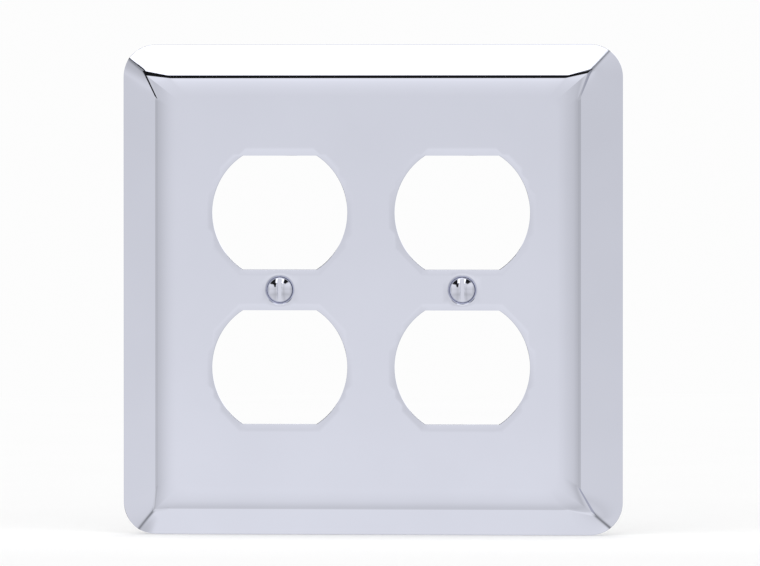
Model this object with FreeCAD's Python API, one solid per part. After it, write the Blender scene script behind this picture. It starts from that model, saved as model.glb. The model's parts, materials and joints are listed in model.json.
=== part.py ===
import FreeCAD, Part
import math
import os

# Two-gang duplex wall plate: one pressed and plated steel sheet, and the two oval-head
# screws that hold it to the receptacles behind it.
#
# Frame: millimetres, +Z up, +X to the right of someone who faces the plate, and the wall's
# outward direction is -Y. The origin is the plate's centre on the wall plane, y = 0.
# A height in this file is a distance out of the wall, so a height h lies at y = -h.

# Outline of the plate, in the midway size.
PLATE_WIDTH = 126.2
PLATE_HEIGHT = 123.5
PLATE_DEPTH = 6.4
CORNER_RADIUS = 8.2
SHEET_THICKNESS = 0.8

# Section of the pressing, from its foot on the wall to its flat field.
FOOT_HEIGHT = 0.6
EDGE_RADIUS = 1.4
SIDE_BORDER = 9.3
END_BORDER = 7.1
CREASE_HEIGHT = 5.2
ROLL_WIDTH = 2.6

# Device openings: 1.812 in from gang to gang, 1.531 in from outlet to outlet.
GANG_PITCH = 46.02
OUTLET_PITCH = 38.89
OPENING_DIAMETER = 34.1
OPENING_FLATS = 28.6

# Screw seats pressed into the field, for an 82 degree head.
SEAT_DIAMETER = 7.4
SCREW_HOLE_DIAMETER = 4.4
SEAT_HALF_ANGLE = math.radians(41.0)

# No. 6-32 oval-head screws.
HEAD_DIAMETER = 6.3
DOME_HEIGHT = 1.1
SLOT_WIDTH = 1.0
SLOT_DEPTH = 0.9
SHANK_DIAMETER = 3.5
SCREW_LENGTH = 16.0
TIP_CHAMFER = 0.5
SEAT_GAP = 0.15

# Room by which a cutting tool runs past the face that it cuts.
OVERRUN = 1.0

OUT_OF_WALL = FreeCAD.Vector(0, -1, 0)
INTO_WALL = FreeCAD.Vector(0, 1, 0)


def polar(centre, radius, angle):
    """A point at an angle about a centre, in the plane of the section."""
    return (centre[0] + radius * math.cos(angle), centre[1] + radius * math.sin(angle))


def arc(centre, radius, start, end):
    """Start, middle and end of an arc about a centre."""
    return [polar(centre, radius, angle) for angle in (start, (start + end) / 2, end)]


def border_normal_angle(edge_centre, crease):
    """Angle of the outward normal of a border that leaves the rolled edge at a tangent for the crease."""
    across = crease[0] - edge_centre[0]
    up = crease[1] - edge_centre[1]
    return math.atan2(up, across) - math.acos(EDGE_RADIUS / math.hypot(across, up))


def half_section(half_span, border, inset, foot):
    """Lines (two points) and arcs (three points) of the sheet's surface, from the foot to the field.

    Each point is a distance from the plate's centre and a height. An inset of zero gives the
    front surface, and an inset of the sheet's thickness gives the back surface.
    """
    edge_centre = (half_span - EDGE_RADIUS, FOOT_HEIGHT)
    crease = (half_span - border, CREASE_HEIGHT)
    border_angle = border_normal_angle(edge_centre, crease)

    roll_turn = 2 * math.atan((PLATE_DEPTH - CREASE_HEIGHT) / ROLL_WIDTH)
    roll_radius = ROLL_WIDTH / math.sin(roll_turn)
    roll_centre = (crease[0] - ROLL_WIDTH, PLATE_DEPTH - roll_radius)
    roll_angle = math.pi / 2 - roll_turn

    edge_arc = arc(edge_centre, EDGE_RADIUS - inset, 0.0, border_angle)
    roll_arc = arc(roll_centre, roll_radius - inset, roll_angle, math.pi / 2)
    crease_arc = arc(crease, -inset, border_angle, roll_angle)

    pieces = [[(half_span - inset, foot), edge_arc[0]], edge_arc, [edge_arc[-1], crease_arc[0]]]
    if inset > 0:
        pieces.append(crease_arc)
    return pieces + [roll_arc]


def mirrored(pieces):
    """The same lines and arcs on the other side of the plate's centre, from the field down to the foot."""
    return [[(-u, h) for u, h in reversed(piece)] for piece in reversed(pieces)]


def edge_through(points):
    """A straight edge through two points, or an arc through three."""
    if len(points) == 2:
        return Part.makeLine(*points)
    return Part.Arc(*points).toShape()


def section_prism(half_span, border, inset, foot, place, run):
    """Solid under the sheet's surface: the section closed along its foot, and run along the plate."""
    rise = half_section(half_span, border, inset, foot)
    fall = mirrored(rise)
    field = [[rise[-1][-1], fall[0][0]]]
    base = [[fall[-1][-1], rise[0][0]]]
    edges = [edge_through([place(u, h) for u, h in piece]) for piece in rise + field + fall + base]
    return Part.Face(Part.Wire(edges)).extrude(run)


def outline_prism(inset):
    """The plate's rounded outline, brought in by an inset, as a block through the plate."""
    width = PLATE_WIDTH - 2 * inset
    height = PLATE_HEIGHT - 2 * inset
    depth = PLATE_DEPTH + 2 * OVERRUN
    low_corner = FreeCAD.Vector(-width / 2, OVERRUN - depth, -height / 2)
    block = Part.makeBox(width, depth, height, low_corner)
    corners = [edge for edge in block.Edges if abs(edge.tangentAt(edge.FirstParameter).y) > 0.5]
    return block.makeFillet(CORNER_RADIUS - inset, corners)


def space_under(inset, foot):
    """Everything under the sheet's front (inset zero) or back surface, mitred at the corners."""
    across = section_prism(
        PLATE_WIDTH / 2, SIDE_BORDER, inset, foot,
        lambda u, h: FreeCAD.Vector(u, -h, -PLATE_HEIGHT / 2), FreeCAD.Vector(0, 0, PLATE_HEIGHT))
    upright = section_prism(
        PLATE_HEIGHT / 2, END_BORDER, inset, foot,
        lambda u, h: FreeCAD.Vector(-PLATE_WIDTH / 2, -h, u), FreeCAD.Vector(PLATE_WIDTH, 0, 0))
    return across.common(upright).common(outline_prism(inset))


def opening_cutter(x, z):
    """A round hole with a flat above and a flat below, for one outlet of a duplex receptacle."""
    depth = PLATE_DEPTH + 2 * OVERRUN
    back = OVERRUN
    round_part = Part.makeCylinder(OPENING_DIAMETER / 2, depth, FreeCAD.Vector(x, back, z), OUT_OF_WALL)
    flats = Part.makeBox(
        OPENING_DIAMETER, depth, OPENING_FLATS,
        FreeCAD.Vector(x - OPENING_DIAMETER / 2, back - depth, z - OPENING_FLATS / 2))
    return round_part.common(flats)


def seat_radius(depth):
    """Radius of the seat's cone at a depth below the field."""
    return SEAT_DIAMETER / 2 - depth * math.tan(SEAT_HALF_ANGLE)


def seat_depth():
    """Depth below the field at which the seat has narrowed to the screw hole."""
    return (SEAT_DIAMETER - SCREW_HOLE_DIAMETER) / 2 / math.tan(SEAT_HALF_ANGLE)


def at_depth(x, depth):
    """A point on a screw's axis, at a depth below the field."""
    return FreeCAD.Vector(x, depth - PLATE_DEPTH, 0)


def seat_wall(x):
    """Sheet pushed back around a screw hole, behind the field."""
    wall = SHEET_THICKNESS / math.cos(SEAT_HALF_ANGLE)
    return Part.makeCone(
        seat_radius(SHEET_THICKNESS) + wall, seat_radius(seat_depth()) + wall,
        seat_depth() - SHEET_THICKNESS, at_depth(x, SHEET_THICKNESS), INTO_WALL)


def seat_cutter(x):
    """The cone that the screw's head sits in, and the hole at its bottom."""
    cone = Part.makeCone(
        seat_radius(-OVERRUN), seat_radius(seat_depth()),
        seat_depth() + OVERRUN, at_depth(x, -OVERRUN), INTO_WALL)
    hole = Part.makeCylinder(SCREW_HOLE_DIAMETER / 2, PLATE_DEPTH, at_depth(x, 0), INTO_WALL)
    return cone.fuse(hole)


def plate():
    """The pressed sheet with its openings and screw seats."""
    sheet = space_under(0.0, 0.0).cut(space_under(SHEET_THICKNESS, -OVERRUN))
    for x in (-GANG_PITCH / 2, GANG_PITCH / 2):
        for z in (-OUTLET_PITCH / 2, OUTLET_PITCH / 2):
            sheet = sheet.cut(opening_cutter(x, z))
        sheet = sheet.fuse(seat_wall(x)).cut(seat_cutter(x))
    return sheet.removeSplitter()


def screw(x):
    """An oval-head machine screw in its seat, with its slot upright."""
    head_radius = HEAD_DIAMETER / 2
    shank_radius = SHANK_DIAMETER / 2
    slope = math.tan(SEAT_HALF_ANGLE)
    rim = (SEAT_DIAMETER / 2 - SEAT_GAP / math.cos(SEAT_HALF_ANGLE) - head_radius) / slope
    neck = rim + (head_radius - shank_radius) / slope
    tip = rim + SCREW_LENGTH
    crown = rim - DOME_HEIGHT
    dome_radius = (head_radius ** 2 + DOME_HEIGHT ** 2) / (2 * DOME_HEIGHT)
    half_turn = math.asin(head_radius / dome_radius) / 2

    def point(radius, depth):
        return at_depth(x, depth) + FreeCAD.Vector(radius, 0, 0)

    dome_fall = dome_radius * (1 - math.cos(half_turn))
    dome_middle = point(dome_radius * math.sin(half_turn), crown + dome_fall)
    corners = [
        point(head_radius, rim), point(shank_radius, neck), point(shank_radius, tip - TIP_CHAMFER),
        point(shank_radius - TIP_CHAMFER, tip), point(0, tip), point(0, crown)]
    edges = [edge_through([corners[-1], dome_middle, corners[0]])]
    edges += [edge_through(pair) for pair in zip(corners, corners[1:])]
    turned = Part.Face(Part.Wire(edges)).revolve(at_depth(x, 0), INTO_WALL, 360)

    slot = Part.makeBox(
        SLOT_WIDTH, SLOT_DEPTH + OVERRUN, HEAD_DIAMETER,
        at_depth(x, crown - OVERRUN) - FreeCAD.Vector(SLOT_WIDTH / 2, 0, head_radius))
    return turned.cut(slot)


def main():
    nodes = {
        "plate": plate(),
        "screw_left": screw(-GANG_PITCH / 2),
        "screw_right": screw(GANG_PITCH / 2),
    }
    os.makedirs("parts", exist_ok=True)
    for name, shape in nodes.items():
        shape.exportStep("parts/" + name + ".step")
        print(name, "valid:", shape.isValid(), "solids:", len(shape.Solids), "mm3:", round(shape.Volume, 1))


main()
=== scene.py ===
import json
import math

import bmesh
import bpy
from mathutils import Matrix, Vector
from mathutils.geometry import delaunay_2d_cdt


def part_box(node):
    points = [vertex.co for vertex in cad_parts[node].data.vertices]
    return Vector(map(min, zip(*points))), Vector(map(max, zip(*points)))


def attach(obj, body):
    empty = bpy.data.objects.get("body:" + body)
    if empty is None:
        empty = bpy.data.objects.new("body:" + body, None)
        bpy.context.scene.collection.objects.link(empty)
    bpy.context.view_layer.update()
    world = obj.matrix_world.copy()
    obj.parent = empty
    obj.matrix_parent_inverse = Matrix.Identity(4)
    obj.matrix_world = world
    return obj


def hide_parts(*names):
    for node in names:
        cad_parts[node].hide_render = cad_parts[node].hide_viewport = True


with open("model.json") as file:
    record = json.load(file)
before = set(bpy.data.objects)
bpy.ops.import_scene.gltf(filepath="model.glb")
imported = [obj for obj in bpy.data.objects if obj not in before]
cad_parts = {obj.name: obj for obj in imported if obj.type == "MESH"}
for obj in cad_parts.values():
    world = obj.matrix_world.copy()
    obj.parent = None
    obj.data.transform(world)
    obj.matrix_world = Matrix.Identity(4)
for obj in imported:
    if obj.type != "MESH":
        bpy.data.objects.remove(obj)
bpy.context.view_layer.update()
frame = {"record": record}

# The wall plate's looks: the pressed sheet with its flared crease, mitres and pressed seats, and
# the two threaded, slotted screws. Metres, in the CAD frame: +Z up, the front faces -Y.
# A height is a distance out of the wall, so a height h lies at y = -h.

MM = 0.001

# ---------------------------------------------------------------- sizes from the frame
PLATE_LOW, PLATE_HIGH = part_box("plate")
MOUNTS = {mount["name"]: mount for mount in frame["record"]["mounts"]}
HALF_WIDTH = PLATE_HIGH.x
HALF_HEIGHT = PLATE_HIGH.z
FIELD_HEIGHT = -PLATE_LOW.y
SCREWS = {side: Vector(MOUNTS[f"screw_{side}_shank"]["pos_m"]) for side in ("left", "right")}
SHANK_RADIUS = MOUNTS["screw_left_shank"]["dims"]["r_mm"] * MM
OUTLETS = [Vector(m["pos_m"]) for name, m in sorted(MOUNTS.items()) if name.startswith("outlet_opening")]

# ---------------------------------------------------------------- section of the pressing
SHEET = 0.8 * MM
CORNER_RADIUS = 8.2 * MM
EDGE_RADIUS = 0.16 * MM
FOOT_HEIGHT = 0.65 * MM
CREASE_HEIGHT = 5.2 * MM

# The crease lies a little low and to the left, so no two borders have the same width.
# -1 is left or lower, and 1 is right or upper.
UPRIGHT_BORDERS = {-1: 8.5 * MM, 1: 10.3 * MM}
LEVEL_BORDERS = {-1: 6.25 * MM, 1: 7.8 * MM}

# From the crease the sheet rises in a short steep wall to a sharp shoulder, and runs on up to the
# flat field in a long shallow lead.
WALL_WIDTH = 0.74 * MM
WALL_BULGE = 0.2
LEAD_WIDTH = 6.0 * MM
LEAD_SLOPE = 0.21
LEAD_CORNER_RADIUS = 4.0 * MM
SHOULDER_HEIGHT = FIELD_HEIGHT - LEAD_SLOPE * (LEAD_WIDTH - WALL_WIDTH) / 3
SHOULDER_DROP = 0.12
PINCH_WALL_SLOPE = 1.3
BACK_ROLL_WIDTH = 4.0 * MM
WALL_STEPS = 5
LEAD_STEPS = 18
LEAD_CLUSTERING = 1.5

# At each corner the crease flares out past the corner of its straight stretches, to a pinch.
# From there the mitre runs out to the outline's arc. Each corner, as (side, end), has the
# pinch's distances past the crease's corner, and the angle round the arc at which the mitre ends.
CORNERS = {
    (-1, 1): (3.4 * MM, 1.25 * MM, math.radians(34)),
    (1, 1): (2.9 * MM, 1.7 * MM, math.radians(54)),
    (1, -1): (4.0 * MM, 1.45 * MM, math.radians(51)),
    (-1, -1): (0.9 * MM, 0.7 * MM, math.radians(59)),
}
UPRIGHT_FLARE_START = 5.4 * MM
LEVEL_FLARE_START = 3.2 * MM
GAP_POWER = 2.5
MITRE_ROUNDING = 0.54 * MM
MITRE_SLOPE = 0.39
# Width of the band along each mitre that is painted darker, as painted shade, and made rougher.
FOLD_SHADE_WIDTH = 0.35 * MM

# Ribs that the border is lofted through.
CORNER_ZONE_START = 42.0 * MM
STRAIGHT_RIB_STEP = 3.0 * MM
CORNER_RIBS = 44
MITRE_CLUSTERING = 2.2

# ---------------------------------------------------------------- openings and screw seats
OPENING_RADIUS = 17.05 * MM
OPENING_HALF_FLATS = 14.3 * MM
CUT_ROUNDING = 0.16 * MM
SEAT_RADIUS = 3.7 * MM
HOLE_RADIUS = 2.2 * MM
SEAT_ROUNDING = 0.3 * MM
SEAT_HALF_ANGLE = math.radians(41.0)
FIELD_GRID = 1.7 * MM
OPENING_ARC_SIDES = 26
OPENING_FLAT_SIDES = 12

# ---------------------------------------------------------------- screws
HEAD_RADIUS = 3.15 * MM
HEAD_LAND = 0.12 * MM
DOME_HEIGHT = 1.1 * MM
SLOT_WIDTH = 1.0 * MM
SLOT_DEPTH = 0.9 * MM
SLOT_EDGE_ANGLE = math.radians(50)
THREAD_PITCH = 25.4 / 32 * MM
THREAD_DEPTH = 0.48 * MM
THREAD_RUNOUT = 1.2 * MM
TIP_CHAMFER = 0.5 * MM
TURNS_SIDES = 64
RINGS_PER_TURN = 12

# ---------------------------------------------------------------- camera
CAMERA_AZIMUTH = math.radians(4.5)
CAMERA_ELEVATION = math.radians(1.0)
CAMERA_LENS_MM = 400.0
SENSOR_WIDTH_MM = 36.0
VIEW_WIDTH = 191.0 * MM
FLOOR_RADIUS = 0.7
FLOOR_IN_FRONT = 0.25
AIM_RIGHT = 2.3 * MM
AIM_UP = 1.75 * MM


# ---------------------------------------------------------------- surroundings
# What the plating reflects, as brightness by the direction of the reflected ray. The levels are
# fitted to the front view. HORIZON goes from left (-1) to right (1), and LIFT from down to up.
HORIZON = [
    (-0.94, 0.54), (-0.91, 0.71), (-0.87, 0.73), (-0.70, 0.70), (-0.47, 0.59), (-0.30, 0.68),
    (-0.10, 0.785), (-0.06, 0.78), (-0.05, 0.75), (0.03, 0.70), (0.21, 0.64), (0.33, 0.56),
    (0.45, 0.66), (0.68, 0.695), (0.80, 0.695), (0.88, 0.56), (1.0, 0.52)]
LIFT = [
    (-0.985, 0.70), (-0.965, 0.885), (-0.90, 0.885), (-0.60, 0.80), (-0.43, 0.70), (-0.25, 0.82),
    (-0.044, 0.88), (-0.0175, 0.825), (0.007, 0.795), (0.05, 0.82), (0.29, 0.92), (0.35, 0.98),
    (0.42, 1.0)]
BAND_LEVEL = 1.5

# A dark ceiling starts above a height that depends on the side, and behind the plate it is bright.
CEILING_FROM = [
    (-0.62, 0.42), (-0.57, 0.22), (-0.44, 0.22), (-0.36, 0.62), (0.25, 0.62), (0.45, 0.5), (0.6, 0.6)]
CEILING_LEVEL = 0.012
CEILING_EDGE = 16.0
BEHIND_FROM = 0.45
BEHIND_LEVEL = [(-0.2, 0.95), (0.3, 1.6)]
BEHIND_EDGE = 8.0

# A dark card stands low on the left.
CARD_BELOW = -0.10
CARD_BOTTOM = -0.36
CARD_BESIDE = 0.35
CARD_BEHIND = -0.15
CARD_EDGE = 14.0

FLOOR_ALBEDO = 0.9
FLOOR_LIGHT = 1.09
BACKDROP_LEVEL = 0.98


# ================================================================ section of the sheet
class Side:
    """One border: its outer edge, crease and slope, and how far before the corner the crease flares."""

    def __init__(self, span, border, flare_start):
        self.span = span
        self.crease = span - border
        self.slope = (CREASE_HEIGHT - FOOT_HEIGHT) / border
        self.flare_start = flare_start

    def height(self, out):
        return CREASE_HEIGHT + (self.crease - out) * self.slope


UPRIGHTS = {sign: Side(HALF_WIDTH, border, UPRIGHT_FLARE_START) for sign, border in UPRIGHT_BORDERS.items()}
LEVELS = {sign: Side(HALF_HEIGHT, border, LEVEL_FLARE_START) for sign, border in LEVEL_BORDERS.items()}


class Rib:
    """A line across the sheet: its points on the outline, crease and shoulder and at the field's edge.

    It has the heights of the first three, and the ends of the mitre that it is nearest to.
    """

    def __init__(self, points, heights, mitre):
        self.outline, self.crease, self.shoulder, self.lead = points
        self.rim_height, self.crease_height, self.shoulder_height = heights
        self.mitre = mitre

    def placed(self, place):
        points = [place(point) for point in (self.outline, self.crease, self.shoulder, self.lead)]
        heights = (self.rim_height, self.crease_height, self.shoulder_height)
        return Rib(points, heights, [place(end) for end in self.mitre])


def on_circle(radius, angle):
    return Vector((math.cos(angle), math.sin(angle))) * radius


def off_mitre(point, mitre):
    """Distance of a point from a mitre's line."""
    pinch, end = mitre
    return abs((point - pinch).cross((end - pinch).normalized()))


def ridge_dip(point, mitre):
    """How far the mitre's rounding lowers the border at a point."""
    inside = max(0.0, MITRE_ROUNDING - off_mitre(point, mitre))
    return MITRE_SLOPE * inside * inside / (2 * MITRE_ROUNDING)


def corner_rib(side, end, corner, share):
    """Rib from the corner zone's start (share 0) to the mitre (1), as (across side, along side)."""
    past_side, past_end, turn = corner
    pinch = Vector((side.crease + past_side, end.crease + past_end))
    centre = Vector((side.span - CORNER_RADIUS, end.span - CORNER_RADIUS))
    mitre_end = centre + on_circle(CORNER_RADIUS, turn)
    mitre = (pinch, mitre_end)

    straight = centre.y - CORNER_ZONE_START
    travelled = share * (straight + CORNER_RADIUS * turn)
    if travelled <= straight:
        outline = Vector((side.span, CORNER_ZONE_START + travelled))
        turned = 0.0
    else:
        angle = (travelled - straight) / CORNER_RADIUS
        outline = centre + on_circle(CORNER_RADIUS, angle)
        turned = (angle / turn) ** GAP_POWER
    rim_gap = (end.height(mitre_end.y) - side.height(mitre_end.x)) / 2
    rim_height = side.height(outline.x) + rim_gap * turned - ridge_dip(outline, mitre)

    along = CORNER_ZONE_START + share * (pinch.y - CORNER_ZONE_START)
    flare_from = end.crease - side.flare_start
    flared = max(0.0, (along - flare_from) / (pinch.y - flare_from))
    crease = Vector((side.crease + flared * past_side, along))
    crease_gap = (end.height(pinch.y) - side.height(pinch.x)) / 2
    crease_height = side.height(crease.x) + crease_gap * flared ** GAP_POWER - ridge_dip(crease, mitre)

    drop = SHOULDER_DROP * math.hypot(past_side, past_end)
    pinch_height = (end.height(pinch.y) + side.height(pinch.x)) / 2
    pinch_wall = (SHOULDER_HEIGHT - drop - pinch_height) / PINCH_WALL_SLOPE
    wall_width = WALL_WIDTH + (pinch_wall - WALL_WIDTH) * flared
    shoulder_along = CORNER_ZONE_START + share * (pinch.y - pinch_wall - CORNER_ZONE_START)
    shoulder = Vector((crease.x - wall_width, shoulder_along))
    shoulder_height = SHOULDER_HEIGHT - drop * flared

    lead_out = side.crease - LEAD_WIDTH
    lead_end = end.crease - LEAD_WIDTH - LEAD_CORNER_RADIUS
    straight = lead_end - CORNER_ZONE_START
    travelled = share * (straight + LEAD_CORNER_RADIUS * math.pi / 4)
    if travelled <= straight:
        lead = Vector((lead_out, CORNER_ZONE_START + travelled))
    else:
        angle = (travelled - straight) / LEAD_CORNER_RADIUS
        lead_centre = Vector((lead_out - LEAD_CORNER_RADIUS, lead_end))
        lead = lead_centre + on_circle(LEAD_CORNER_RADIUS, angle)
    return Rib((outline, crease, shoulder, lead), (rim_height, crease_height, shoulder_height), mitre)


def half_side_ribs(side, end, corner):
    """Ribs from the middle of a side up to and with the mitre, as (across side, along side)."""
    shares = [1 - (1 - i / CORNER_RIBS) ** MITRE_CLUSTERING for i in range(CORNER_RIBS + 1)]
    corner_zone = [corner_rib(side, end, corner, share) for share in shares]
    count = round(CORNER_ZONE_START / STRAIGHT_RIB_STEP)
    straight = []
    for i in range(count):
        along = CORNER_ZONE_START * i / count
        outs = (side.span, side.crease, side.crease - WALL_WIDTH, side.crease - LEAD_WIDTH)
        heights = (FOOT_HEIGHT, CREASE_HEIGHT, SHOULDER_HEIGHT)
        straight.append(Rib([Vector((out, along)) for out in outs], heights, corner_zone[0].mitre))
    return straight + corner_zone


def corner_ribs(side_sign, end_sign):
    """Ribs round one corner, from the middle of its side to the middle of its end, as (x, z)."""
    side, end = UPRIGHTS[side_sign], LEVELS[end_sign]
    past_side, past_end, turn = CORNERS[side_sign, end_sign]
    upright = half_side_ribs(side, end, (past_side, past_end, turn))
    level = half_side_ribs(end, side, (past_end, past_side, math.pi / 2 - turn))
    ribs = upright + [rib.placed(lambda p: p.yx) for rib in level[-2::-1]]
    return [rib.placed(lambda p: Vector((p.x * side_sign, p.y * end_sign))) for rib in ribs]


def all_ribs():
    """Ribs all the way round the plate, in order."""
    loop = corner_ribs(1, 1) + corner_ribs(-1, 1)[-2::-1]
    loop += corner_ribs(-1, -1)[1:] + corner_ribs(1, -1)[-2:0:-1]
    return loop


def ease(low, high, count):
    """Evenly spaced values from low to high, both ends with them."""
    return [low + (high - low) * i / count for i in range(count + 1)]


def roll_section(rib):
    """Points and heights of the front surface along a rib, from the crease in to the field's edge."""
    wall, lead = rib.shoulder - rib.crease, rib.lead - rib.shoulder
    wall_rise, lead_rise = rib.shoulder_height - rib.crease_height, FIELD_HEIGHT - rib.shoulder_height

    def on_wall(share):
        risen = share * (1 + WALL_BULGE * (1 - share))
        return rib.crease + wall * share, rib.crease_height + wall_rise * risen

    def on_lead(share):
        risen = 1 - (1 - share) ** 3
        return rib.shoulder + lead * share, rib.shoulder_height + lead_rise * risen

    lead_shares = [share ** LEAD_CLUSTERING for share in ease(0, 1, LEAD_STEPS)[1:]]
    return [on_wall(share) for share in ease(0, 1, WALL_STEPS)] + [on_lead(share) for share in lead_shares]


def front_section(rib):
    """Points of the front surface along a rib, from the flat field out to the foot, as (x, z) and height."""
    points = roll_section(rib)[::-1]
    border = rib.crease - rib.outline
    inward = border.normalized()
    tilt = math.atan((rib.crease_height - rib.rim_height) / border.length)
    support = EDGE_RADIUS * (1 - math.sin(tilt)) + EDGE_RADIUS / 8
    for s in ease(border.length, support, 8)[1:]:
        points.append((rib.outline + inward * s, rib.rim_height + s * math.tan(tilt)))
    centre_height = rib.rim_height + EDGE_RADIUS * math.tan(tilt) - EDGE_RADIUS / math.cos(tilt)
    for angle in ease(math.pi / 2 + tilt, math.pi, 6):
        s = EDGE_RADIUS * (1 + math.cos(angle))
        points.append((rib.outline + inward * s, centre_height + EDGE_RADIUS * math.sin(angle)))
    points.append((rib.outline, 0.0))
    return points


def back_section(rib):
    """Points of the back surface along a rib, from the foot in to the flat field."""
    border = rib.crease - rib.outline
    inward = border.normalized()
    tilt = math.atan((rib.crease_height - rib.rim_height) / border.length)
    foot = rib.outline + inward * SHEET
    start_height = rib.rim_height + SHEET * math.tan(tilt) - SHEET / math.cos(tilt)
    crease_back = rib.crease + inward * SHEET * math.sin(tilt)
    low = rib.crease_height - SHEET * math.cos(tilt)
    points = [(foot, 0.0), (foot, start_height)]
    for share in ease(0, 1, 6)[1:]:
        points.append((foot.lerp(crease_back, share), start_height + (low - start_height) * share))

    across = rib.lead - crease_back
    high = FIELD_HEIGHT - SHEET
    for share in ease(0, 1, 12)[1:]:
        left = max(0.0, 1 - share * across.length / BACK_ROLL_WIDTH)
        points.append((crease_back + across * share, high - (high - low) * left * left))
    return points


def fold_shade_and_roughness_share(point, rib):
    """How much painted shade and extra roughness a point gets from the mitre's fold: 1 on it, and 0 away
    from it.
    """
    across = off_mitre(point, rib.mitre)
    past = (point - rib.crease).length if point.length < rib.crease.length else 0.0
    return math.exp(-(across / FOLD_SHADE_WIDTH) ** 2 - (past / (2 * FOLD_SHADE_WIDTH)) ** 2)


# ================================================================ plate mesh
def at(point, height):
    """A point of the plate's plane at a height out of the wall."""
    return Vector((point.x, -height, point.y))


def new_loop(bm, points, height):
    return [bm.verts.new(at(point, height)) for point in points]


def join_loops(bm, first, second, material):
    """Quads between two closed loops with the same number of points."""
    count = len(first)
    for i in range(count):
        j = (i + 1) % count
        face = bm.faces.new((first[i], first[j], second[j], second[i]))
        face.material_index = material


def opening_outline(centre, grow):
    """Round hole with a flat above and below, grown outward by a distance."""
    radius = OPENING_RADIUS + grow
    half = OPENING_HALF_FLATS + grow
    corner = math.asin(half / radius)
    flat = radius * math.cos(corner)
    right_angles = ease(-corner, corner, OPENING_ARC_SIDES)
    left_angles = ease(math.pi - corner, math.pi + corner, OPENING_ARC_SIDES)
    points = [on_circle(radius, angle) for angle in right_angles]
    points += [Vector((x, half)) for x in ease(flat, -flat, OPENING_FLAT_SIDES)[1:]]
    points += [on_circle(radius, angle) for angle in left_angles[1:]]
    points += [Vector((x, -half)) for x in ease(-flat, flat, OPENING_FLAT_SIDES)[1:-1]]
    return [centre + p for p in points]


def circle(centre, radius, sides=TURNS_SIDES):
    angles = [2 * math.pi * i / sides for i in range(sides)]
    return [centre + on_circle(radius, angle) for angle in angles]


def opening_loops(bm, centre):
    """Cut edge of an opening, from the front of the field to its back."""
    loops = []
    for angle in ease(0, math.pi / 2, 6):
        grow = CUT_ROUNDING * (1 - math.sin(angle))
        height = FIELD_HEIGHT - CUT_ROUNDING * (1 - math.cos(angle))
        loops.append(new_loop(bm, opening_outline(centre, grow), height))
    loops.append(new_loop(bm, opening_outline(centre, 0), FIELD_HEIGHT - SHEET + CUT_ROUNDING / 2))
    loops.append(new_loop(bm, opening_outline(centre, CUT_ROUNDING / 2), FIELD_HEIGHT - SHEET))
    return loops


def seat_loops(bm, centre):
    """Pressed screw seat, from the front of the field, down its cone and back up behind the sheet."""
    slope = 1 / math.tan(SEAT_HALF_ANGLE)
    fall = math.pi / 2 - SEAT_HALF_ANGLE
    start = SEAT_RADIUS + SEAT_ROUNDING * math.tan(fall / 2)
    rings = [
        (start - SEAT_ROUNDING * math.sin(a), SEAT_ROUNDING * (1 - math.cos(a))) for a in ease(0, fall, 6)]
    depth = (SEAT_RADIUS - HOLE_RADIUS) * slope
    chamfer = 0.08 * MM
    rings += [(r, (SEAT_RADIUS - r) * slope) for r in ease(rings[-1][0], HOLE_RADIUS + chamfer, 4)[1:]]
    wall = SHEET / math.cos(SEAT_HALF_ANGLE)
    rings += [(HOLE_RADIUS, depth - chamfer / 2), (HOLE_RADIUS, depth - chamfer / 4)]
    rings += [(HOLE_RADIUS + chamfer, depth)]
    rings += [(HOLE_RADIUS + wall - 2 * chamfer, depth), (HOLE_RADIUS + wall, depth - chamfer)]
    foot = HOLE_RADIUS + wall + (depth - SHEET) / slope
    rings += [(foot + 0.02 * MM, SHEET + 0.12 * MM), (foot + 0.25 * MM, SHEET)]
    return [new_loop(bm, circle(centre, r), FIELD_HEIGHT - d) for r, d in rings]


def clear_of_holes(point, margin):
    """Whether a point of the field is outside every opening and seat by a margin."""
    for outlet in OUTLETS:
        offset = point - Vector((outlet.x, outlet.z))
        if offset.length < OPENING_RADIUS + margin and abs(offset.y) < OPENING_HALF_FLATS + margin:
            return False
    return all((point - Vector((p.x, p.z))).length > SEAT_RADIUS + margin for p in SCREWS.values())


def field_grid(low, high):
    """Points of an even grid between two corners, kept away from the field's edge, openings and seats."""
    points = []
    for x in ease(low.x, high.x, round((high.x - low.x) / FIELD_GRID))[1:-1]:
        for z in ease(low.y, high.y, round((high.y - low.y) / FIELD_GRID))[1:-1]:
            point = Vector((x, z))
            inset = [min(point[i] - low[i], high[i] - point[i]) for i in (0, 1)]
            in_corner = math.hypot(*(max(0.0, LEAD_CORNER_RADIUS - gap) for gap in inset))
            if in_corner < LEAD_CORNER_RADIUS - 0.5 * MM and clear_of_holes(point, 0.9 * MM):
                points.append(point)
    return points


def fill_field(bm, edge, holes, height, material):
    """Flat field between its edge loop and the loops of its holes, as even quads where they fit."""
    loops = [edge] + holes
    verts = [v for loop in loops for v in loop]
    edges = []
    for loop in loops:
        first = verts.index(loop[0])
        edges += [(first + i, first + (i + 1) % len(loop)) for i in range(len(loop))]
    low = Vector((min(v.co.x for v in edge), min(v.co.z for v in edge)))
    high = Vector((max(v.co.x for v in edge), max(v.co.z for v in edge)))
    verts += [bm.verts.new(at(p, height)) for p in field_grid(low, high)]
    flat = [Vector((v.co.x, v.co.z)) for v in verts]
    _, _, triangles, origins, _, _ = delaunay_2d_cdt(flat, edges, [], 0, 1e-9)
    hole_points = [[Vector((v.co.x, v.co.z)) for v in hole] for hole in holes]
    made = []
    for triangle in triangles:
        corners = [verts[origins[i][0]] for i in triangle]
        middle = sum((Vector((v.co.x, v.co.z)) for v in corners), Vector((0, 0))) / 3
        if not any(in_loop(middle, hole) for hole in hole_points):
            face = bm.faces.new(corners)
            face.material_index = material
            made.append(face)
    bmesh.ops.join_triangles(
        bm, faces=made, angle_face_threshold=0.1, angle_shape_threshold=0.6)


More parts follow.
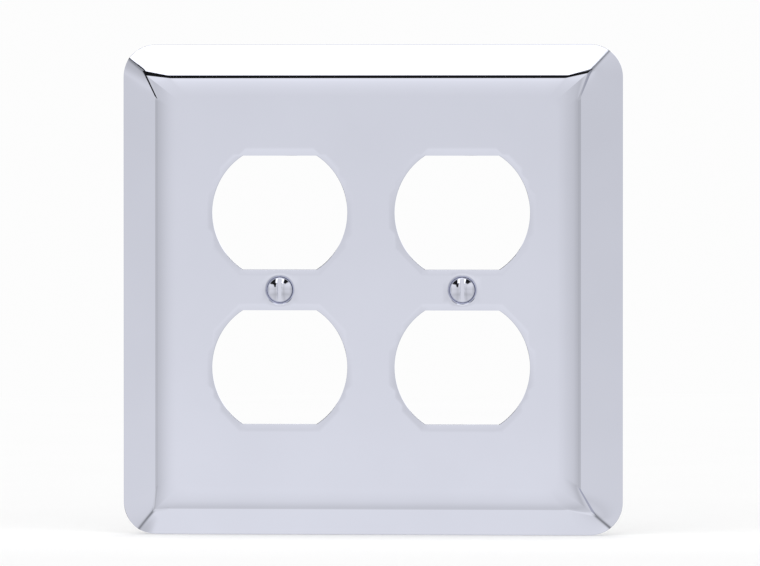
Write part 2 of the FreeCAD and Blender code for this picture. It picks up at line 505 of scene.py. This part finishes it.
def in_loop(point, loop):
    """Whether a point is inside a closed loop of points."""
    inside = False
    for a, b in zip(loop, loop[1:] + loop[:1]):
        if (a.y > point.y) != (b.y > point.y):
            if point.x < a.x + (point.y - a.y) / (b.y - a.y) * (b.x - a.x):
                inside = not inside
    return inside


def mesh_object(name, bm, sharp_angle, materials):
    """A finished object from a bmesh: outward normals, smooth faces, and sharp edges past an angle."""
    bmesh.ops.recalc_face_normals(bm, faces=bm.faces)
    mesh = bpy.data.meshes.new(name)
    bm.to_mesh(mesh)
    bm.free()
    mesh.shade_smooth()
    mesh.set_sharp_from_angle(angle=sharp_angle)
    for material in materials:
        mesh.materials.append(material)
    obj = bpy.data.objects.new(name, mesh)
    bpy.context.scene.collection.objects.link(obj)
    return obj


FRONT, BACK = 0, 1


def build_plate(front_material, back_material):
    """The pressed sheet: the border lofted over its ribs, the flat field, its openings and its seats."""
    bm = bmesh.new()
    # Each front point keeps how far the mitre's fold darkens its colour, as painted shade, and roughens it.
    fold_shade_and_roughness = bm.verts.layers.float.new("fold_shade_and_roughness")
    columns = []
    for rib in all_ribs():
        front, back = front_section(rib), back_section(rib)
        column = [bm.verts.new(at(*place)) for place in front + back]
        for vert, (point, _) in zip(column, front):
            vert[fold_shade_and_roughness] = fold_shade_and_roughness_share(point, rib)
        columns.append(column)
    loops = list(zip(*columns))
    for k in range(len(loops) - 1):
        join_loops(bm, loops[k], loops[k + 1], FRONT if k < len(front) else BACK)

    holes = [opening_loops(bm, Vector((outlet.x, outlet.z))) for outlet in OUTLETS]
    holes += [seat_loops(bm, Vector((axis.x, axis.z))) for axis in SCREWS.values()]
    for rings in holes:
        for k in range(len(rings) - 1):
            join_loops(bm, rings[k], rings[k + 1], FRONT)
    fill_field(bm, loops[0], [rings[0] for rings in holes], FIELD_HEIGHT, FRONT)
    fill_field(bm, loops[-1], [rings[-1] for rings in holes], FIELD_HEIGHT - SHEET, BACK)
    return mesh_object("pressed_plate", bm, math.radians(13), [front_material, back_material])


# ================================================================ screws
def thread_radius(angle, depth, start, end):
    """Radius of the thread at an angle and a depth, cut less deep near the neck and the tip."""
    phase = (depth / THREAD_PITCH + angle / (2 * math.pi)) % 1.0
    crest = min(1.0, max(0.0, (abs(phase - 0.5) * 2 - 0.2) / 0.62))
    fade = min(1.0, max(0.0, (depth - start) / THREAD_RUNOUT))
    taper = max(0.0, TIP_CHAMFER - (end - depth))
    return SHANK_RADIUS - THREAD_DEPTH * (1 - crest) * fade - taper * 0.7 * crest


def screw_rings(crown):
    """Rings of the screw as (depth, radius or a function of the angle), from the crown to the tip."""
    dome_radius = (HEAD_RADIUS ** 2 + DOME_HEIGHT ** 2) / (2 * DOME_HEIGHT)
    half_turn = math.asin(HEAD_RADIUS / dome_radius)
    rings = []
    for angle in ease(0, half_turn, 14)[1:]:
        rings.append((crown + dome_radius * (1 - math.cos(angle)), dome_radius * math.sin(angle)))
    rim = crown + DOME_HEIGHT
    slope = math.tan(SEAT_HALF_ANGLE)
    neck = rim + (HEAD_RADIUS - SHANK_RADIUS) / slope
    rings.append((rim + HEAD_LAND, HEAD_RADIUS - HEAD_LAND * slope * 0.3))
    for share in ease(0, 1, 5)[1:]:
        depth = rim + HEAD_LAND + (neck - rim - HEAD_LAND) * share
        rings.append((depth, HEAD_RADIUS - (depth - rim) * slope))
    return rings, neck


def build_screw(name, body, material):
    """An oval-head screw on its CAD axis, with its slot upright and a rolled thread."""
    low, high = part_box(body)
    axis = SCREWS[body.split("_")[1]]
    crown, tip = low.y, high.y
    rings, neck = screw_rings(crown)
    bm = bmesh.new()
    loops = []
    angles = [2 * math.pi * i / TURNS_SIDES for i in range(TURNS_SIDES)]
    for depth, radius in rings:
        loops.append([(radius, depth)] * TURNS_SIDES)
    thread_start = neck + 0.4 * MM
    count = round((tip - neck) / THREAD_PITCH * RINGS_PER_TURN)
    for depth in ease(neck, tip, count)[1:]:
        loops.append([(thread_radius(a, depth, thread_start, tip), depth) for a in angles])
    made = []
    for loop in loops:
        made.append([
            bm.verts.new((axis.x + r * math.cos(a), d, axis.z + r * math.sin(a)))
            for a, (r, d) in zip(angles, loop)])
    for first, second in zip(made, made[1:]):
        join_loops(bm, first, second, 0)
    crown_point = bm.verts.new((axis.x, crown, axis.z))
    tip_point = bm.verts.new((axis.x, tip, axis.z))
    for i in range(TURNS_SIDES):
        j = (i + 1) % TURNS_SIDES
        bm.faces.new((made[0][i], made[0][j], crown_point))
        bm.faces.new((made[-1][i], made[-1][j], tip_point))
    screw = mesh_object(name, bm, math.radians(28), [material])
    cut_slot(screw, axis, crown)
    return screw


def cut_slot(screw, axis, crown):
    """Cuts the driver slot across the head and breaks its edges."""
    bm = bmesh.new()
    bmesh.ops.create_cube(bm, size=1.0)
    room = 1.0 * MM
    bmesh.ops.scale(bm, verts=bm.verts, vec=(SLOT_WIDTH, SLOT_DEPTH + room, 4 * HEAD_RADIUS))
    middle = crown + SLOT_DEPTH - (SLOT_DEPTH + room) / 2
    bmesh.ops.translate(bm, verts=bm.verts, vec=(axis.x, middle, axis.z))
    cutter = mesh_object("slot_cutter", bm, math.radians(30), [])
    boolean = screw.modifiers.new("slot", "BOOLEAN")
    boolean.operation = "DIFFERENCE"
    boolean.solver = "EXACT"
    boolean.object = cutter
    bpy.context.view_layer.update()
    evaluated = screw.evaluated_get(bpy.context.evaluated_depsgraph_get())
    cut = bpy.data.meshes.new_from_object(evaluated)
    screw.modifiers.clear()
    screw.data = cut
    bpy.data.objects.remove(cutter)

    bm = bmesh.new()
    bm.from_mesh(cut)
    floor = crown + SLOT_DEPTH
    slot_edges = []
    for edge in bm.edges:
        on_wall = all(abs(abs(v.co.x - axis.x) - SLOT_WIDTH / 2) < 0.01 * MM for v in edge.verts)
        above_floor = all(v.co.y < floor - 0.02 * MM for v in edge.verts)
        folded = len(edge.link_faces) == 2 and edge.calc_face_angle() > SLOT_EDGE_ANGLE
        if on_wall and above_floor and folded:
            slot_edges.append(edge)
    bmesh.ops.bevel(bm, geom=slot_edges, offset=0.05 * MM, segments=2, profile=0.5, affect="EDGES")
    bm.to_mesh(cut)
    bm.free()
    cut.shade_smooth()
    cut.set_sharp_from_angle(angle=math.radians(28))


# ================================================================ node helpers
def add_node(tree, kind, inputs=(), **settings):
    """Adds a node with its settings and inputs. An input that is a socket is linked."""
    node = tree.nodes.new(kind)
    for setting, value in settings.items():
        setattr(node, setting, value)
    for name, value in dict(inputs).items():
        if isinstance(value, bpy.types.NodeSocket):
            tree.links.new(value, node.inputs[name])
        else:
            node.inputs[name].default_value = value
    return node


def calculate(tree, operation, *values, clamp=False):
    settings = {"operation": operation, "use_clamp": clamp}
    return add_node(tree, "ShaderNodeMath", enumerate(values), **settings).outputs[0]


def mix(tree, factor, a, b, kind="RGBA"):
    node = add_node(tree, "ShaderNodeMix", data_type=kind)
    for name, value in (("Factor", factor), ("A", a), ("B", b)):
        if isinstance(value, bpy.types.NodeSocket):
            tree.links.new(value, node.inputs[name])
        else:
            node.inputs[name].default_value = value
    return node.outputs["Result"]


def ramp(tree, source, stops):
    """Colour ramp through (position, grey level or colour) stops."""
    node = add_node(tree, "ShaderNodeValToRGB", {"Fac": source})
    elements = node.color_ramp.elements
    elements.remove(elements[1])
    elements[0].position = stops[0][0]
    for position, _ in stops[1:]:
        elements.new(position)
    for element, (_, shade) in zip(elements, stops):
        element.color = (*shade, 1) if isinstance(shade, tuple) else (shade, shade, shade, 1)
    return node.outputs["Color"]


def curve_over(tree, value, points):
    """Straight-line curve over a value from -1 to 1, through (value, level) points."""
    place = calculate(tree, "MULTIPLY_ADD", value, 0.5, 0.5)
    return ramp(tree, place, [((x + 1) / 2, level) for x, level in points])


def noise(tree, scale, detail, stretch=(1, 1, 1)):
    """Noise in the object's own coordinates."""
    coords = add_node(tree, "ShaderNodeTexCoord").outputs["Object"]
    mapped = add_node(tree, "ShaderNodeMapping", {"Vector": coords, "Scale": stretch}).outputs["Vector"]
    inputs = {"Vector": mapped, "Scale": scale, "Detail": detail}
    return add_node(tree, "ShaderNodeTexNoise", inputs).outputs[0]


def bump(tree, height, strength, distance):
    inputs = {"Height": height, "Strength": strength, "Distance": distance}
    return add_node(tree, "ShaderNodeBump", inputs).outputs["Normal"]


def new_tree(owner):
    owner.use_nodes = True
    return owner.node_tree


def set_shader(tree, **inputs):
    """Sets or links the inputs of a material's shader."""
    shader = tree.nodes["Principled BSDF"]
    for name, value in inputs.items():
        socket = shader.inputs[name.replace("_", " ")]
        if isinstance(value, bpy.types.NodeSocket):
            tree.links.new(value, socket)
        else:
            socket.default_value = value


# ================================================================ materials
CHROME_TINT = (0.66, 0.675, 0.764)
# The dark colour painted into the mitres and the crease's pinches is painted shade.
PAINTED_FOLD_SHADE = (0.20, 0.21, 0.24)


def shaded(tint, factor):
    return tuple(channel * factor for channel in tint)


def chrome_material(name, roughness, waviness):
    """Bright plating: a slow change of tint, patches of polishing haze, and in the folds painted shade, a
    darker colour, with rougher plating.
    """
    material = bpy.data.materials.new(name)
    tree = new_tree(material)
    tones = [(0.3, shaded(CHROME_TINT, 0.985)), (0.7, shaded(CHROME_TINT, 1.01))]
    tone = ramp(tree, noise(tree, 38, 3), tones)
    fold_shade_and_roughness = add_node(tree, "ShaderNodeAttribute", attribute_name="fold_shade_and_roughness").outputs["Fac"]
    # The folds' colour is mixed towards the painted shade by this share.
    depth = calculate(tree, "MULTIPLY", fold_shade_and_roughness, 0.85)
    haze = ramp(tree, noise(tree, 140, 6), [(0.3, roughness[0]), (0.75, roughness[1])])
    set_shader(
        tree, Metallic=1.0,
        Base_Color=mix(tree, depth, tone, (*PAINTED_FOLD_SHADE, 1)),
        Roughness=calculate(tree, "MULTIPLY_ADD", fold_shade_and_roughness, 0.18, haze),
        Normal=bump(tree, noise(tree, 55, 2), waviness, 0.02 * MM))
    return material


def back_material():
    """Back of the sheet: thin dull plating over the drawn steel, with fine drawing marks."""
    material = bpy.data.materials.new("dull_plated_back")
    tree = new_tree(material)
    marks = noise(tree, 220, 4, (1, 1, 8))
    set_shader(
        tree, Metallic=1.0,
        Base_Color=ramp(tree, noise(tree, 60, 5), [(0.3, (0.50, 0.50, 0.51)), (0.7, (0.62, 0.62, 0.64))]),
        Roughness=ramp(tree, marks, [(0.3, 0.24), (0.7, 0.40)]),
        Normal=bump(tree, marks, 0.25, 0.02 * MM))
    return material


def floor_material():
    """Pale, even, matt studio floor."""
    material = bpy.data.materials.new("pale_floor")
    tree = new_tree(material)
    tone = ramp(tree, noise(tree, 12, 3), [(0.3, FLOOR_ALBEDO - 0.004), (0.7, FLOOR_ALBEDO + 0.004)])
    set_shader(tree, Base_Color=tone, Roughness=0.9, Specular_IOR_Level=0.0)
    return material


# ================================================================ studio
def build_world():
    """Surroundings for the plating to reflect: a pale band, a dark ceiling, a bright back and a dark card.

    The floor gets an even light instead, and the camera sees an even backdrop.
    """
    world = bpy.data.worlds.new("studio")
    bpy.context.scene.world = world
    tree = new_tree(world)
    direction = add_node(tree, "ShaderNodeTexCoord").outputs["Generated"]
    x, y, z = add_node(tree, "ShaderNodeSeparateXYZ", {"Vector": direction}).outputs

    band = calculate(tree, "MULTIPLY", curve_over(tree, x, HORIZON), curve_over(tree, z, LIFT))
    band = calculate(tree, "MULTIPLY", band, BAND_LEVEL)
    over_ceiling = calculate(tree, "SUBTRACT", z, curve_over(tree, x, CEILING_FROM))
    ceiling = calculate(tree, "MULTIPLY", over_ceiling, CEILING_EDGE, clamp=True)
    past_plate = calculate(tree, "SUBTRACT", y, BEHIND_FROM)
    behind = calculate(tree, "MULTIPLY", past_plate, BEHIND_EDGE, clamp=True)
    level = mix(tree, ceiling, band, CEILING_LEVEL, "FLOAT")
    level = mix(tree, behind, level, curve_over(tree, z, BEHIND_LEVEL), "FLOAT")
    under = calculate(tree, "SUBTRACT", CARD_BELOW, z)
    card = calculate(tree, "MULTIPLY", under, CARD_EDGE, clamp=True)
    to_left = calculate(tree, "MULTIPLY", x, -1.0)
    for value, limit in ((to_left, CARD_BESIDE), (y, CARD_BEHIND), (z, CARD_BOTTOM)):
        past = calculate(tree, "SUBTRACT", value, limit)
        edge = calculate(tree, "MULTIPLY", past, CARD_EDGE, clamp=True)
        card = calculate(tree, "MULTIPLY", card, edge)
    level = mix(tree, card, level, CEILING_LEVEL, "FLOAT")

    path = add_node(tree, "ShaderNodeLightPath")
    level = mix(tree, path.outputs["Is Diffuse Ray"], level, FLOOR_LIGHT, "FLOAT")
    level = mix(tree, path.outputs["Is Camera Ray"], level, BACKDROP_LEVEL, "FLOAT")
    tree.links.new(level, tree.nodes["Background"].inputs["Color"])
    world.cycles.sampling_method = "NONE"


def add_softbox(name, place, aim, width, depth, radiance):
    """A rectangular softbox that faces a point, out of the camera's sight."""
    light = bpy.data.lights.new(name, "AREA")
    light.shape = "RECTANGLE"
    light.size = width
    light.size_y = depth
    light.energy = radiance * math.pi * width * depth
    softbox = bpy.data.objects.new(name, light)
    softbox.location = place
    softbox.rotation_euler = (Vector(aim) - Vector(place)).to_track_quat("-Z", "Y").to_euler()
    softbox.visible_camera = False
    bpy.context.scene.collection.objects.link(softbox)
    return softbox


def build_floor(material):
    """Flat pale floor that the plate stands on."""
    bm = bmesh.new()
    bmesh.ops.create_circle(bm, cap_ends=True, cap_tris=False, segments=96, radius=FLOOR_RADIUS)
    floor = mesh_object("studio_floor", bm, math.radians(30), [material])
    floor.location = (0, FLOOR_RADIUS - FLOOR_IN_FRONT, PLATE_LOW.z)
    floor.visible_glossy = False


def build_camera():
    """Long lens, close to square on, a little from the right and above."""
    data = bpy.data.cameras.new("camera")
    data.lens = CAMERA_LENS_MM
    data.sensor_width = SENSOR_WIDTH_MM
    data.clip_start = 0.01
    camera = bpy.data.objects.new("camera", data)
    bpy.context.scene.collection.objects.link(camera)
    distance = VIEW_WIDTH * CAMERA_LENS_MM / SENSOR_WIDTH_MM
    back = Vector((
        math.sin(CAMERA_AZIMUTH) * math.cos(CAMERA_ELEVATION),
        -math.cos(CAMERA_AZIMUTH) * math.cos(CAMERA_ELEVATION),
        math.sin(CAMERA_ELEVATION)))
    turn = (-back).to_track_quat("-Z", "Y")
    centre = Vector((0, -FIELD_HEIGHT, 0))
    aim = centre + turn @ Vector((AIM_RIGHT, AIM_UP, 0))
    camera.rotation_euler = turn.to_euler()
    camera.location = aim + back * distance
    bpy.context.scene.camera = camera


def main():
    scene = bpy.context.scene
    scene.view_settings.view_transform = "Standard"
    build_camera()
    build_world()
    overhead = add_softbox("overhead_softbox", (-0.10, -0.595, 0.862), (0, 0, 0.058), 0.8, 0.555, 1.75)
    overhead.visible_diffuse = False
    fill = add_softbox("floor_fill", (0, -0.03, 0), (0, -0.03, -1), 0.2, 0.02, 1.3)
    fill.visible_glossy = False
    build_floor(floor_material())

    sheet_chrome = chrome_material("bright_chrome", (0.02, 0.06), 0.10)
    screw_chrome = chrome_material("screw_chrome", (0.05, 0.11), 0.15)
    plate = build_plate(sheet_chrome, back_material())
    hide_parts("plate")
    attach(plate, "plate")
    for side in SCREWS:
        node = f"screw_{side}"
        screw = build_screw(f"oval_head_{node}", node, screw_chrome)
        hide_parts(node)
        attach(screw, node)


main()
